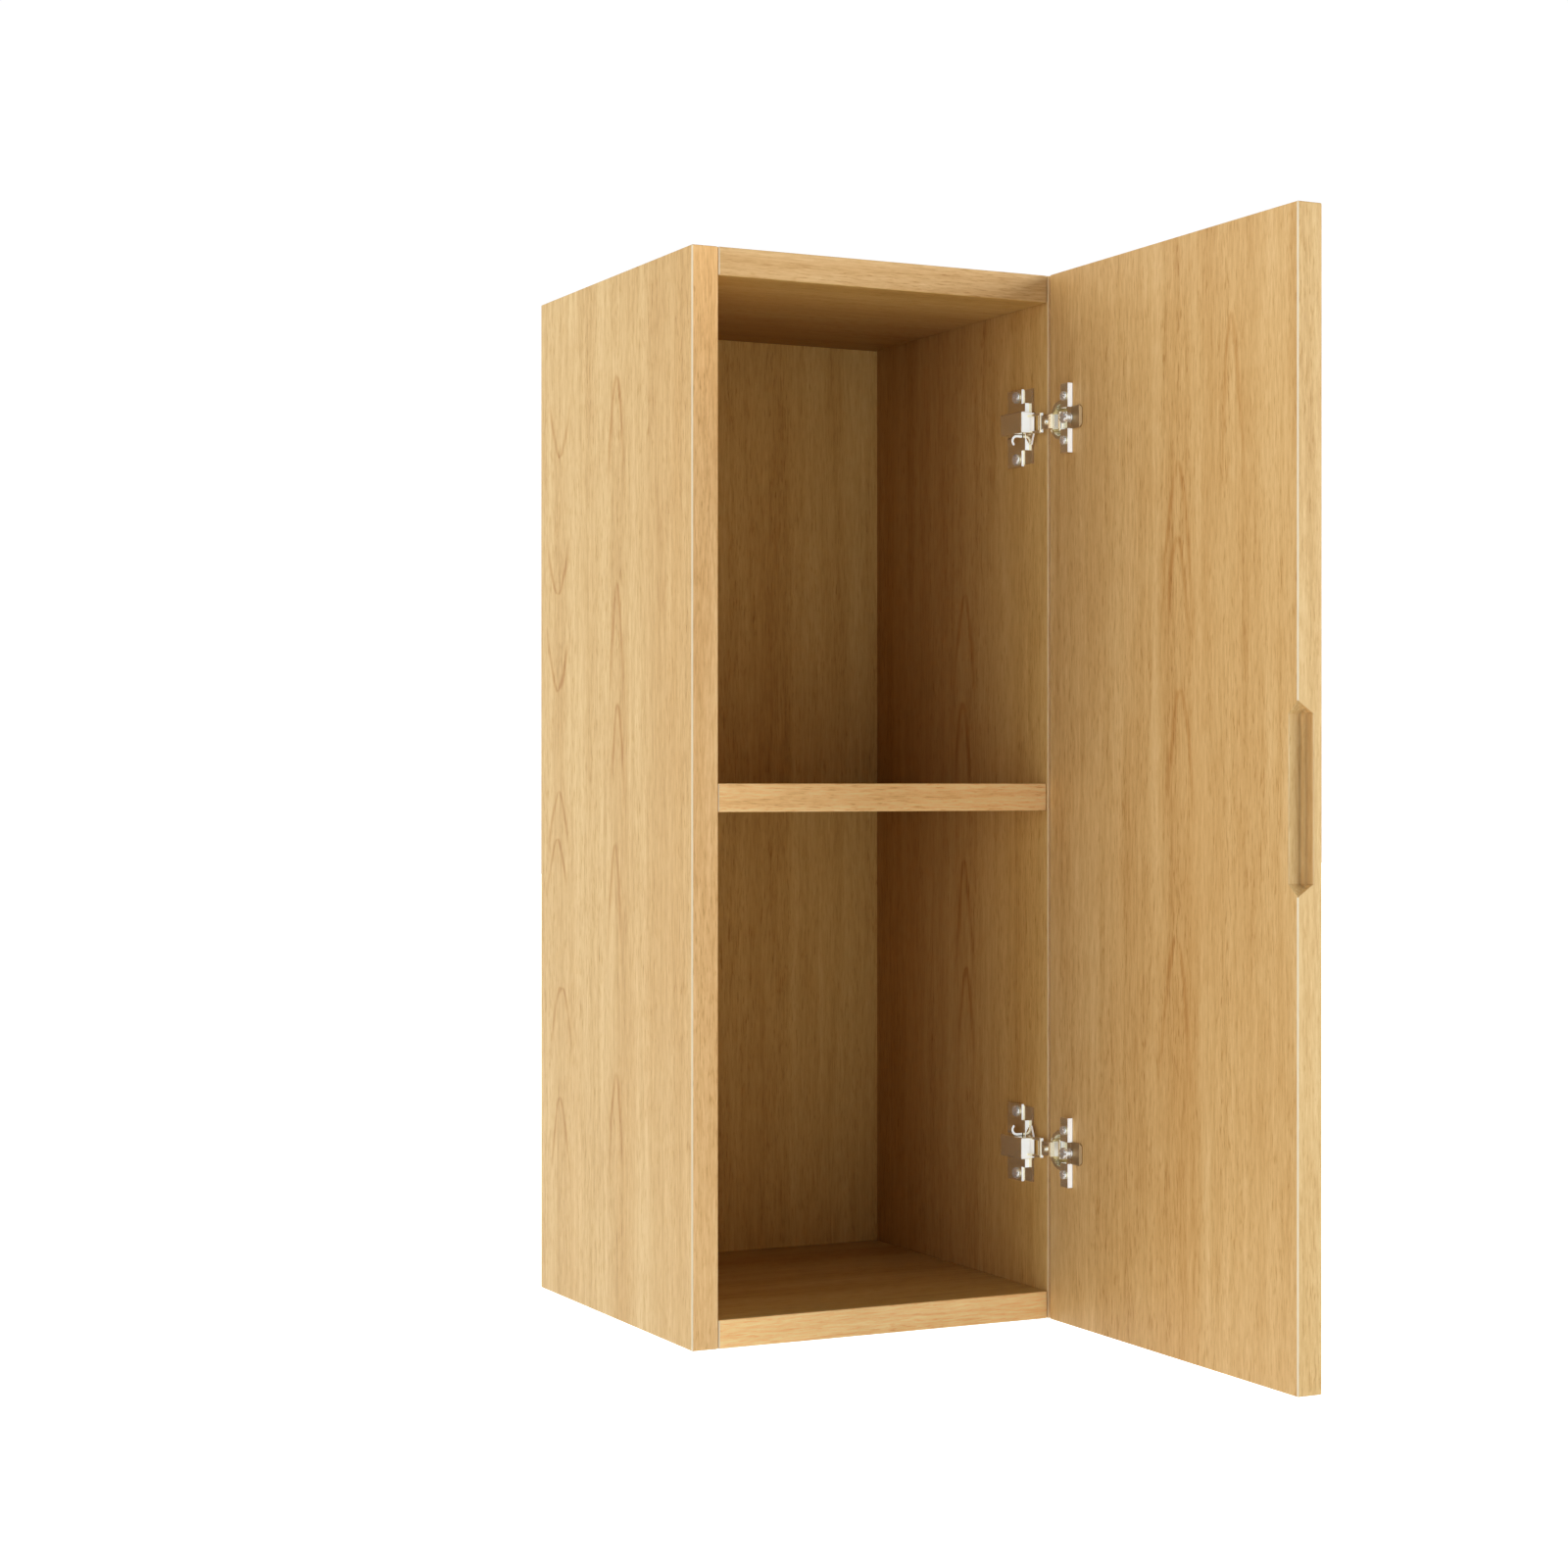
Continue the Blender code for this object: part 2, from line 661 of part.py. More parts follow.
def add_link(end, z):
    """Bent strap between the arm's pin and the cup's pin, with a knuckle at each end."""
    name = f"{end}_hinge_link"
    corner = []
    for share in (0.0, 0.25, 0.5, 0.75, 1.0):
        start = ARM_PIVOT.lerp(LINK_BEND, 0.72)
        finish = CUP_PIVOT.lerp(LINK_BEND, 0.60)
        first = start.lerp(LINK_BEND, share)
        second = LINK_BEND.lerp(finish, share)
        corner.append(first.lerp(second, share))
    path = [ARM_PIVOT] + corner + [CUP_PIVOT]
    outline = strap_side(path, LINK_HALF_THICK) + strap_side(path, -LINK_HALF_THICK)[::-1]
    mesh = bmesh.new()
    add_prism(mesh, outline, z - LINK_HALF_WIDTH, z + LINK_HALF_WIDTH, flat_place)
    link = add_object(name, mesh, "nickel", "links")
    knuckle_half = LINK_HALF_WIDTH + 0.0002
    for word, pivot in (("arm", ARM_PIVOT), ("cup", CUP_PIVOT)):
        knuckle = bmesh.new()
        add_turned(
            knuckle, rod_profile(KNUCKLE_RADIUS + 0.0001, 2 * knuckle_half, 0),
            (pivot[0], pivot[1], z - knuckle_half), (0, 0, 1), 20,
        )
        add_boolean(link, f"{name}_{word}_knuckle", knuckle, "UNION", "links")
    rivet = bmesh.new()
    rivet_at = ARM_PIVOT.lerp(LINK_BEND, 0.60)
    head = [(0, -0.0028), (0.0016, -0.0028), (0.0024, -0.0021), (0.0024, 0.0002), (0, 0.0002)]
    add_turned(rivet, head, (rivet_at[0], rivet_at[1], z), (1, 0, 0), 20)
    add_boolean(link, name + "_rivet", rivet, "UNION", "links")
    for word, pivot in (("arm", ARM_PIVOT), ("cup", CUP_PIVOT)):
        hole = bmesh.new()
        add_turned(
            hole, rod_profile(PIN_RADIUS + GAP, 0.014, 0),
            (pivot[0], pivot[1], z - 0.007), (0, 0, 1), 20,
        )
        add_boolean(link, f"{name}_{word}_hole", hole, "DIFFERENCE", "links")


def add_cup(end, z):
    """Cup sunk in the door, with a winged flange on the door's inner face."""
    name = f"{end}_hinge_cup"
    flange = 0.0007
    inner = CUP_RADIUS - CUP_WALL
    mesh = bmesh.new()
    profile = [
        (0, CUP_DEPTH), (CUP_RADIUS - 0.0010, CUP_DEPTH), (CUP_RADIUS, CUP_DEPTH - 0.0010),
        (CUP_RADIUS, -GAP), (CUP_RIM, -GAP), (CUP_RIM, -GAP - flange), (inner, -GAP - flange),
        (inner, CUP_DEPTH - 0.0012), (0, CUP_DEPTH - 0.0012),
    ]
    add_turned(mesh, profile, (DOOR_INNER, CUP_Y, z), (1, 0, 0), 40)
    cup = add_object(name, mesh, "nickel", "door")
    smooth(cup)
    for side in (-1, 1):
        wing = bmesh.new()
        low, high = sorted((z + side * 0.0078, z + side * FLANGE_HALF))
        add_box(wing, (FLANGE_FACE - FLANGE_BAR, FLANGE_FAR, low), (FLANGE_FACE, FLANGE_NEAR, high))
        add_boolean(cup, f"{name}_wing_{side + 1}", wing, "UNION", "door")
    tail = bmesh.new()
    near = FLANGE_SCREW_Y
    low, high = z - TAIL_HALF, z + TAIL_HALF
    outline = [
        (near, low), (FLANGE_TAIL + TAIL_CORNER, low), (FLANGE_TAIL, low + TAIL_CORNER),
        (FLANGE_TAIL, high - TAIL_CORNER), (FLANGE_TAIL + TAIL_CORNER, high), (near, high),
    ]
    add_prism(tail, outline, FLANGE_FACE - TAIL_THICK, FLANGE_FACE, side_place)
    add_boolean(cup, name + "_tail", tail, "UNION", "door")
    slope = bmesh.new()
    clear = FLANGE_FACE - TAIL_THICK - 0.001
    wedge = [
        (clear, FLANGE_TAIL - 0.001), (FLANGE_FACE - 0.0002, FLANGE_TAIL - 0.001),
        (FLANGE_FACE - 0.0002, FLANGE_TAIL), (clear, FLANGE_TAIL + 0.0045),
    ]
    add_prism(slope, wedge, low - 0.001, high + 0.001, flat_place)
    add_boolean(cup, name + "_tail_slope", slope, "DIFFERENCE", "door")
    pin_ears = bmesh.new()
    x, y = CUP_PIVOT
    for side in (-1, 1):
        low, high = sorted((z + side * (LINK_HALF_WIDTH + 0.0004), z + side * (LINK_HALF_WIDTH + 0.0018)))
        floor = DOOR_INNER + CUP_DEPTH - 0.0008
        ear = arc((x, y), KNUCKLE_RADIUS, 90, 270, 12) + [(floor, y - 0.003), (floor, y + 0.001)]
        add_prism(pin_ears, ear, low, high, flat_place)
    add_boolean(cup, name + "_ears", pin_ears, "UNION", "door")
    holes = bmesh.new()
    add_turned(holes, rod_profile(PIN_RADIUS + GAP, 0.0152, 0), (x, y, z - 0.0076), (0, 0, 1), 20)
    for side in (-1, 1):
        add_turned(
            holes, rod_profile(0.0024, 0.010, 0),
            (FLANGE_FACE - 0.007, FLANGE_SCREW_Y, z + side * FLANGE_SCREW), (1, 0, 0), 20,
        )
    add_boolean(cup, name + "_holes", holes, "DIFFERENCE", "door")
    for side, word in ((-1, "low"), (1, "high")):
        add_pan_screw(
            f"{end}_cup_screw_{word}",
            (FLANGE_FACE - FLANGE_BAR - GAP, FLANGE_SCREW_Y, z + side * FLANGE_SCREW),
            0.0033, 0.0021, 0.0020, 0.0040, "door",
        )


def add_cam_screw(end, z):
    """Tall round adjusting cam on the flange's tail, with a collar and a slotted top."""
    seat = (FLANGE_FACE - TAIL_THICK - GAP, CAM_Y, z)
    mesh = bmesh.new()
    profile = [
        (0, -0.0070), (0.0034, -0.0070), (0.0042, -0.0062), (0.0042, -0.0044), (0.0036, -0.0038),
        (0.0026, -0.0036), (0.0026, -0.0012), (0.0036, -0.0008), (0.0036, 0), (0, 0),
    ]
    add_turned(mesh, profile, seat, (1, 0, 0), 24)
    made = add_object(f"{end}_hinge_cam_screw", mesh, "steel", "door")
    slot = bmesh.new()
    add_box(slot, (seat[0] - 0.008, seat[1] - 0.006, z - 0.0007),
            (seat[0] - 0.0056, seat[1] + 0.006, z + 0.0007))
    add_boolean(made, f"{end}_cam_slot", slot, "DIFFERENCE", "door")
    smooth(made)


def add_hinges():
    for end, z in HINGE_HEIGHTS.items():
        sign = HINGE_SIGN[end]
        add_mounting_plate(end, z)
        add_arm(end, z, sign)
        add_release_lever(end, z, sign)
        add_pin(f"{end}_arm_pin", ARM_PIVOT, z, LINK_HALF_WIDTH + 0.0021, None)
        add_link(end, z)
        add_pin(f"{end}_cup_pin", CUP_PIVOT, z, LINK_HALF_WIDTH + 0.0018, "door")
        add_cup(end, z)
        add_cam_screw(end, z)


add_body("links", (ARM_PIVOT.x, ARM_PIVOT.y, HEIGHT / 2))
add_body("door", (CUP_PIVOT.x, CUP_PIVOT.y, HEIGHT / 2))
bpy.context.view_layer.update()
add_carcass()
add_dowels()
add_door()
add_hinges()
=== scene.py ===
"""Looks for the hanging wall cabinet: veneer, nickel hinges, studio light and camera."""
from math import cos, pi, radians, sin

import bpy
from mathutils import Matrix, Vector


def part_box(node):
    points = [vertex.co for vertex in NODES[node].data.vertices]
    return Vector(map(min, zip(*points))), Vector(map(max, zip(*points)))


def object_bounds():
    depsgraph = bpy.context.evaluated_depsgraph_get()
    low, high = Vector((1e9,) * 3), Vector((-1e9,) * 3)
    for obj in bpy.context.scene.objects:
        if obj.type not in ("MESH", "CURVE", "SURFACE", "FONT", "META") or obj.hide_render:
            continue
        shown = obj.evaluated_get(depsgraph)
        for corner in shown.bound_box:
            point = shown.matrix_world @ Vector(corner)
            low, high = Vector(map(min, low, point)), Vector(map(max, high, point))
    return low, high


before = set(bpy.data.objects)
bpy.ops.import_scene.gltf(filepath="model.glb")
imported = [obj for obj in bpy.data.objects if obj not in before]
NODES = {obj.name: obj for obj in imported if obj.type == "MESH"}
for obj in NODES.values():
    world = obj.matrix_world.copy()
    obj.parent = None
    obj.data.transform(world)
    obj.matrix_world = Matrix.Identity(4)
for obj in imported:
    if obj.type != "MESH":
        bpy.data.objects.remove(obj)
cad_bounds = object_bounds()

# Camera, measured from the cabinet's front left bottom corner
CAMERA_FROM_CORNER = Vector((-0.8213, -1.8252, 0.3905))
CAMERA_TURN = 26.04
CAMERA_LENS = 66.78
SENSOR = 36.0

# Light: radiance of the backdrop and of the floor, behind and in front of the cabinet
SKY_REAR = 1.02
SKY_FRONT = 0.15
FLOOR_GLOW_REAR = 1.0
FLOOR_GLOW_FRONT = 0.25
FLOOR_DROP = 1.0            # floor below the cabinet's lowest point
FLOOR_REACH = 40.0          # half the floor's side
SUN_SPREAD = 50             # apparent size of each broad lamp, in degrees

# Broad lamps: name, turn (0 = front, negative = left) and lift in degrees, strength
SUNS = [
    ("left", -100, 0, 0.44),
    ("front_left", -55, 0, 0.16),
    ("front", 20, 0, 0.05),
    ("right", 50, 0, 1.34),
]


# Node helper -------------------------------------------------------------

class Graph:
    """Short way to write a material's node tree."""

    def __init__(self, name):
        self.material = bpy.data.materials.new(name)
        self.material.use_nodes = True
        self.tree = self.material.node_tree
        self.tree.nodes.clear()
        output = self.tree.nodes.new("ShaderNodeOutputMaterial")
        self.shader = self.tree.nodes.new("ShaderNodeBsdfPrincipled")
        self.tree.links.new(self.shader.outputs[0], output.inputs["Surface"])

    def feed(self, socket, value):
        if isinstance(value, bpy.types.NodeSocket):
            self.tree.links.new(value, socket)
        else:
            socket.default_value = value

    def math(self, operation, *values, clamp=False):
        node = self.tree.nodes.new("ShaderNodeMath")
        node.operation = operation
        node.use_clamp = clamp
        for socket, value in zip(node.inputs, values):
            self.feed(socket, value)
        return node.outputs[0]

    def coordinates(self):
        return self.tree.nodes.new("ShaderNodeTexCoord").outputs["Object"]

    def normal(self):
        return self.tree.nodes.new("ShaderNodeTexCoord").outputs["Normal"]

    def split(self, vector):
        node = self.tree.nodes.new("ShaderNodeSeparateXYZ")
        self.feed(node.inputs[0], vector)
        return node.outputs

    def join(self, x, y, z):
        node = self.tree.nodes.new("ShaderNodeCombineXYZ")
        for socket, value in zip(node.inputs, (x, y, z)):
            self.feed(socket, value)
        return node.outputs[0]

    def noise(self, vector, scale=1.0, detail=2.0, roughness=0.5):
        node = self.tree.nodes.new("ShaderNodeTexNoise")
        self.feed(node.inputs["Vector"], vector)
        node.inputs["Scale"].default_value = scale
        node.inputs["Detail"].default_value = detail
        node.inputs["Roughness"].default_value = roughness
        return node.outputs[0]

    def remap(self, value, from_low, from_high, to_low=0.0, to_high=1.0):
        node = self.tree.nodes.new("ShaderNodeMapRange")
        node.interpolation_type = "SMOOTHSTEP"
        self.feed(node.inputs["Value"], value)
        node.inputs["From Min"].default_value = from_low
        node.inputs["From Max"].default_value = from_high
        node.inputs["To Min"].default_value = to_low
        node.inputs["To Max"].default_value = to_high
        return node.outputs[0]

    def ramp(self, value, stops):
        node = self.tree.nodes.new("ShaderNodeValToRGB")
        self.feed(node.inputs[0], value)
        elements = node.color_ramp.elements
        while len(elements) < len(stops):
            elements.new(0.5)
        for element, (position, color) in zip(elements, stops):
            element.position = position
            element.color = (*color, 1.0)
        return node.outputs[0]

    def mix(self, factor, first, second, blend="MIX"):
        node = self.tree.nodes.new("ShaderNodeMix")
        node.data_type = "RGBA"
        node.blend_type = blend
        self.feed(node.inputs["Factor"], factor)
        self.feed(node.inputs[6], first)
        node.inputs[7].default_value = (*second, 1.0)
        return node.outputs[2]

    def bump(self, height, strength, distance):
        node = self.tree.nodes.new("ShaderNodeBump")
        node.inputs["Strength"].default_value = strength
        node.inputs["Distance"].default_value = distance
        self.feed(node.inputs["Height"], height)
        self.feed(self.shader.inputs["Normal"], node.outputs[0])


# Wood --------------------------------------------------------------------

AXES = {"X": 0, "Y": 1, "Z": 2}
OAK_TONES = [
    (0.00, (0.400, 0.205, 0.060)),
    (0.30, (0.560, 0.325, 0.115)),
    (0.55, (0.690, 0.450, 0.183)),
    (0.80, (0.790, 0.560, 0.260)),
    (1.00, (0.860, 0.640, 0.330)),
]
BEECH_TONES = [
    (0.00, (0.420, 0.255, 0.120)),
    (0.50, (0.610, 0.430, 0.240)),
    (1.00, (0.720, 0.550, 0.340)),
]
WARMTH = (0.88, 0.76, 0.60)
ARCH_TINT = (0.80, 0.60, 0.38)
# Painted shade in the routed recess: on its floor and in a line at its wall's foot
RECESS_PAINTED_SHADE = (0.300, 0.150, 0.052)
RECESS_TINT = (1.00, 0.97, 0.91)
RECESS_SIZE = 0.0135        # how far the routed recess can reach from the arris
RECESS_HALF_LENGTH = 0.0628
RECESS_FOOT = 0.0081        # depth of the wall's foot, where a painted shade line runs
DOOR_FIGURE = 0.65          # arches show less on the door
RIGHT_ARRIS_HIGHLIGHT = 0.2           # the painted highlight on the right side's arris is faint
# Colour of the painted highlight on rounded arrises that face front and left
ARRIS_PAINTED_HIGHLIGHT = (1.000, 0.900, 0.680)


def arch(graph, side, along, middle, tip, half, reach):
    """One arch line of the figure: 1 on its two legs, 0 elsewhere.

    The legs leave the tip at (middle, tip) and stand half apart at the far
    end; reach is their length, negative for an arch that opens upwards.
    """
    run = graph.math("DIVIDE", graph.math("SUBTRACT", tip, along), reach)
    open_by = graph.math("MULTIPLY", graph.math("POWER", graph.math("MAXIMUM", run, 0.0), 0.62), half)
    away = graph.math("ABSOLUTE", graph.math("SUBTRACT", side, middle))
    miss = graph.math("ABSOLUTE", graph.math("SUBTRACT", away, open_by))
    line = graph.remap(miss, 0.0038, 0.0002)
    ends = graph.math("MULTIPLY", graph.remap(run, -0.01, 0.03), graph.remap(run, 1.0, 0.35))
    return graph.math("MULTIPLY", line, ends)


def veneer(name, grain, across, seed, arches=(), tones=OAK_TONES, rough=0.45, warm=None,
           recess=None, inner_painted_shade=None, front_face_tint=None, arris_share=0.95, figure=1.0):
    """Oak with long fibres along grain.

    arches: arch lines, warm: coordinates of the warmest and the palest tone,
    recess: middle of the arris that a recess is routed into, whose deepest
    part and whose wall's foot get painted shade,
    inner: axis and direction of the face that gets painted shade, and the
    painted shade tint at its front and at its rear,
    band: tint of the faces that point to the front, arris_share: strength of
    the painted highlight on the arris that faces front and left, figure:
    how strongly the arches show.
    """
    graph = Graph(name)
    axes = graph.split(graph.coordinates())
    through = ({"X", "Y", "Z"} - {grain, across}).pop()
    lengthwise = axes[AXES[grain]]
    along = graph.math("ADD", lengthwise, seed * 0.37)
    side = axes[AXES[across]]
    deep = graph.math("ADD", axes[AXES[through]], seed * 0.011)

    def stretched(wide, long, **options):
        vector = graph.join(
            graph.math("MULTIPLY", side, wide), graph.math("MULTIPLY", deep, wide),
            graph.math("MULTIPLY", along, long),
        )
        return graph.noise(vector, **options)

    def centred(value):
        return graph.math("SUBTRACT", value, 0.5)

    bands = centred(stretched(30, 0.9, detail=2.0, roughness=0.6))
    streaks = centred(stretched(150, 7.0, detail=3.0, roughness=0.6))
    fibres = centred(stretched(620, 48, detail=3.0, roughness=0.75))
    pores = graph.remap(stretched(950, 100, detail=2.0), 0.54, 0.68)
    clusters = graph.remap(stretched(60, 5.0, detail=2.0), 0.35, 0.62, 0.45, 1.0)
    dashes = graph.math("MULTIPLY", pores, clusters)

    tone = graph.math("MULTIPLY_ADD", bands, 0.66, 0.66)
    tone = graph.math("MULTIPLY_ADD", streaks, 0.60, tone)
    tone = graph.math("MULTIPLY_ADD", fibres, 0.90, tone)
    tone = graph.math("MULTIPLY_ADD", dashes, -0.26, tone)
    lines = 0.0
    if arches:
        waver = centred(stretched(40, 12, detail=2.0))
        bent = graph.math("MULTIPLY_ADD", waver, 0.009, side)
        shifted = graph.math("MULTIPLY_ADD", waver, 0.020, lengthwise)
        for middle, tip, half, reach in arches:
            line = arch(graph, bent, shifted, middle, tip, half, reach)
            lines = graph.math("MAXIMUM", lines, line)
        broken = graph.remap(stretched(150, 30, detail=2.0), 0.25, 0.55, 0.45 * figure, figure)
        lines = graph.math("MULTIPLY", lines, broken)
        tone = graph.math("MULTIPLY_ADD", lines, -0.16, tone)
    tone = graph.math("ADD", tone, 0.0, clamp=True)
    rosy = graph.remap(stretched(16, 1.6, detail=2.0), 0.50, 0.72, 0.0, 0.35)
    if warm:
        rosy = graph.math("ADD", rosy, graph.remap(side, warm[1], warm[0], 0.0, 0.42))
    color = graph.mix(rosy, graph.ramp(tone, tones), WARMTH, "MULTIPLY")
    if arches:
        color = graph.mix(graph.math("MULTIPLY", lines, 0.55), color, ARCH_TINT, "MULTIPLY")

    # Faces turned inwards get painted shade, on some boards darker towards the rear, and faces that
    # point to the front get a tint of their own
    normal = graph.split(graph.normal())
    if inner_painted_shade:
        axis, way, front_painted_shade, rear_painted_shade = inner_painted_shade
        # Painted shade on the faces turned inwards
        facing = graph.math("GREATER_THAN", graph.math("MULTIPLY", normal[axis], way), 0.5)
        rear = graph.math("MULTIPLY", facing, graph.remap(axes[1], FRONT_Y, REAR_Y))
        color = graph.mix(graph.math("SUBTRACT", facing, rear), color, front_painted_shade, "MULTIPLY")
        color = graph.mix(rear, color, rear_painted_shade, "MULTIPLY")
    # Faces that point to the front get their board's own tint
    if front_face_tint:
        facing = graph.math("LESS_THAN", normal[1], -0.8)
        color = graph.mix(facing, color, front_face_tint, "MULTIPLY")

    # Rounded arrises that face front and left get a painted highlight, but not in a recess, whose
    # deepest part gets painted shade
    leftward = graph.math("MINIMUM", normal[0], 0.0)
    arris = graph.math("MULTIPLY", leftward, graph.math("MINIMUM", normal[1], 0.0))
    arris = graph.remap(arris, 0.15, 0.40, 0.0, arris_share)
    if recess:
        inwards = [graph.math("SUBTRACT", axes[index], recess[index]) for index in range(3)]
        farther = graph.math("MAXIMUM", inwards[0], inwards[1])
        beside = graph.math("LESS_THAN", farther, RECESS_SIZE)
        height = graph.math("LESS_THAN", graph.math("ABSOLUTE", inwards[2]), RECESS_HALF_LENGTH)
        within = graph.math("MULTIPLY", beside, height)
        cut = graph.math("MINIMUM", inwards[0], inwards[1])
        carved = graph.math("MULTIPLY", within, graph.remap(cut, 0.0003, 0.002))
        # Painted shade: darker on the recess's floor and in a line at the wall's foot
        shade = graph.remap(inwards[0], 0.0104, 0.0114, 0.0, 0.34)
        foot = graph.math("ABSOLUTE", graph.math("SUBTRACT", inwards[0], RECESS_FOOT))
        shade = graph.math("ADD", shade, graph.remap(foot, 0.0013, 0.0003, 0.0, 0.28))
        shade = graph.math("MULTIPLY", shade, carved)
        color = graph.mix(carved, color, RECESS_TINT, "MULTIPLY")
        color = graph.mix(shade, color, RECESS_PAINTED_SHADE)
        # The painted highlight is weaker within the recess and gone where it is carved
        arris = graph.math("MULTIPLY", arris, graph.math("MULTIPLY_ADD", within, -0.85, 1.0))
        arris = graph.math("MULTIPLY", arris, graph.math("SUBTRACT", 1.0, carved))
    # Painted highlight mixed onto the arris
    color = graph.mix(arris, color, ARRIS_PAINTED_HIGHLIGHT)
    graph.feed(graph.shader.inputs["Base Color"], color)

    gloss = graph.math("MULTIPLY_ADD", fibres, 0.18, rough)
    gloss = graph.math("MULTIPLY_ADD", dashes, 0.12, gloss)
    graph.feed(graph.shader.inputs["Roughness"], gloss)
    height = graph.math("MULTIPLY_ADD", dashes, -0.8, graph.math("MULTIPLY", fibres, 0.5))
    graph.bump(height, 0.30, 0.0002)
    graph.shader.inputs["Specular IOR Level"].default_value = 0.16
    return graph.material


def box_size(node):
    low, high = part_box(node)
    return Vector(low), Vector(high)


def inside(node, axis, share):
    """Coordinate at a share of a node's length along an axis."""
    low, high = box_size(node)
    index = AXES[axis]
    return low[index] + share * (high[index] - low[index])


def dress(node, material):
    made = NODES[node]
    made.data.materials.clear()
    made.data.materials.append(material)


# Painted shade: tints that darken the faces turned inwards, some more towards the rear
INSIDE_PAINTED_SHADE = (0.96, 0.89, 0.64)
RIGHT_FRONT_PAINTED_SHADE = (0.98, 0.87, 0.65)
RIGHT_REAR_PAINTED_SHADE = (0.57, 0.44, 0.27)
CEILING_REAR_PAINTED_SHADE = (0.47, 0.34, 0.15)
FLOOR_FRONT_PAINTED_SHADE = (0.88, 0.88, 0.75)
FLOOR_REAR_PAINTED_SHADE = (0.58, 0.53, 0.43)
DOOR_INNER_PAINTED_SHADE = (0.99, 0.90, 0.80)
# Tints of the faces that point to the front, one per board
SIDE_FRONT_TINT = (1.31, 1.31, 1.43)
TOP_FRONT_TINT = (0.97, 0.91, 0.90)
BOTTOM_FRONT_TINT = (1.58, 1.54, 1.57)
SHELF_FRONT_TINT = (1.50, 1.50, 1.62)
FRONT_Y = inside("left_side_panel", "Y", 0.0)
REAR_Y = inside("left_side_panel", "Y", 0.9)

# Arch lines: height of the tip, share of the board's width, half width, reach
ARCHES = {
    "left_side_panel": [
        (0.640, 0.86, 0.025, -0.055), (0.531, 0.87, 0.026, -0.055), (0.459, 0.87, 0.026, -0.058),
        (0.385, 0.87, 0.026, 0.060),
        (0.348, 0.88, 0.024, 0.050), (0.240, 0.85, 0.026, 0.070), (0.150, 0.86, 0.024, 0.070),
        (0.691, 0.47, 0.018, 0.110), (0.539, 0.47, 0.017, 0.120), (0.448, 0.46, 0.015, 0.090),
        (0.348, 0.48, 0.017, 0.110), (0.180, 0.47, 0.016, 0.100),
    ],
    "right_side_panel": [
        (0.538, 0.43, 0.016, 0.090), (0.455, 0.44, 0.013, 0.080), (0.330, 0.43, 0.015, 0.090),
        (0.250, 0.42, 0.013, 0.080),
    ],
    "door_panel": [
        (0.610, 0.45, 0.024, 0.150), (0.560, 0.45, 0.016, 0.090), (0.455, 0.44, 0.020, 0.110),
        (0.290, 0.46, 0.022, 0.130), (0.700, 0.24, 0.014, 0.120),
    ],
}


def dress_boards():
    # Grain, direction across it, seed, face turned inwards with its painted shade tints, front face
    # tint
    plan = {
        "left_side_panel": ("Z", "Y", 1.0, (0, 1, INSIDE_PAINTED_SHADE, INSIDE_PAINTED_SHADE), SIDE_FRONT_TINT),
        "right_side_panel": ("Z", "Y", 2.0, (0, -1, RIGHT_FRONT_PAINTED_SHADE, RIGHT_REAR_PAINTED_SHADE), SIDE_FRONT_TINT),
        "back_panel": ("Z", "X", 3.0, (1, -1, INSIDE_PAINTED_SHADE, INSIDE_PAINTED_SHADE), None),
        "door_panel": ("Z", "Y", 4.0, (0, -1, DOOR_INNER_PAINTED_SHADE, DOOR_INNER_PAINTED_SHADE), None),
        "top_panel": ("X", "Y", 5.0, (2, -1, INSIDE_PAINTED_SHADE, CEILING_REAR_PAINTED_SHADE), TOP_FRONT_TINT),
        "bottom_panel": ("X", "Y", 6.0, (2, 1, FLOOR_FRONT_PAINTED_SHADE, FLOOR_REAR_PAINTED_SHADE), BOTTOM_FRONT_TINT),
        "shelf_panel": ("X", "Y", 7.0, (2, 1, INSIDE_PAINTED_SHADE, INSIDE_PAINTED_SHADE), SHELF_FRONT_TINT),
    }
    foot = box_size("left_side_panel")[0].z
    for node, (grain, across, seed, inner_painted_shade, front_face_tint) in plan.items():
        arches = [
            (inside(node, across, share), foot + tip, half, reach)
            for tip, share, half, reach in ARCHES.get(node, [])
        ]
        options = {"inner_painted_shade": inner_painted_shade, "front_face_tint": front_face_tint}
        if node == "right_side_panel":
            options["arris_share"] = RIGHT_ARRIS_HIGHLIGHT
        if node == "left_side_panel":
            options["warm"] = (inside(node, across, 0.0), inside(node, across, 0.5))
        if node == "door_panel":
            low, high = box_size(node)
            options["recess"] = Vector((low.x, low.y, (low.z + high.z) / 2))
            options["figure"] = DOOR_FIGURE
        dress(node, veneer(node + "_veneer", grain, across, seed, arches, **options))
    for node, seed in (("top_hanging_rail", 8.0), ("bottom_hanging_rail", 9.0)):
        dress(node, veneer(node + "_wood", "X", "Z", seed, tones=BEECH_TONES, rough=0.6))
    for name in NODES:
        if name.startswith("dowel"):
            dress(name, veneer(name + "_wood", "X", "Y", 10.0, tones=BEECH_TONES, rough=0.6))


# Metal -------------------------------------------------------------------

NICKEL = (0.97, 0.87, 0.62)
ZINC = (0.88, 0.84, 0.77)
# Painted reflection of the wood, on the cup's tail
PAINTED_WOOD_REFLECTION = (0.500, 0.350, 0.180)
# Painted reflection on the faces of the metal that point to the front
FRONT_PAINTED_REFLECTION = (0.96, 0.96, 0.96)
FRONT_PAINTED_REFLECTION_GLOW = (0.88, 0.97, 1.0, 1.0)         # painted reflection: a glow that stands in for white surroundings
FRONT_PAINTED_REFLECTION_GLOW_STRENGTH = 0.50
CUP_TAIL = 0.0127           # length of the cup's tail in front of its flange
NOWHERE = -9.0              # y that no piece reaches


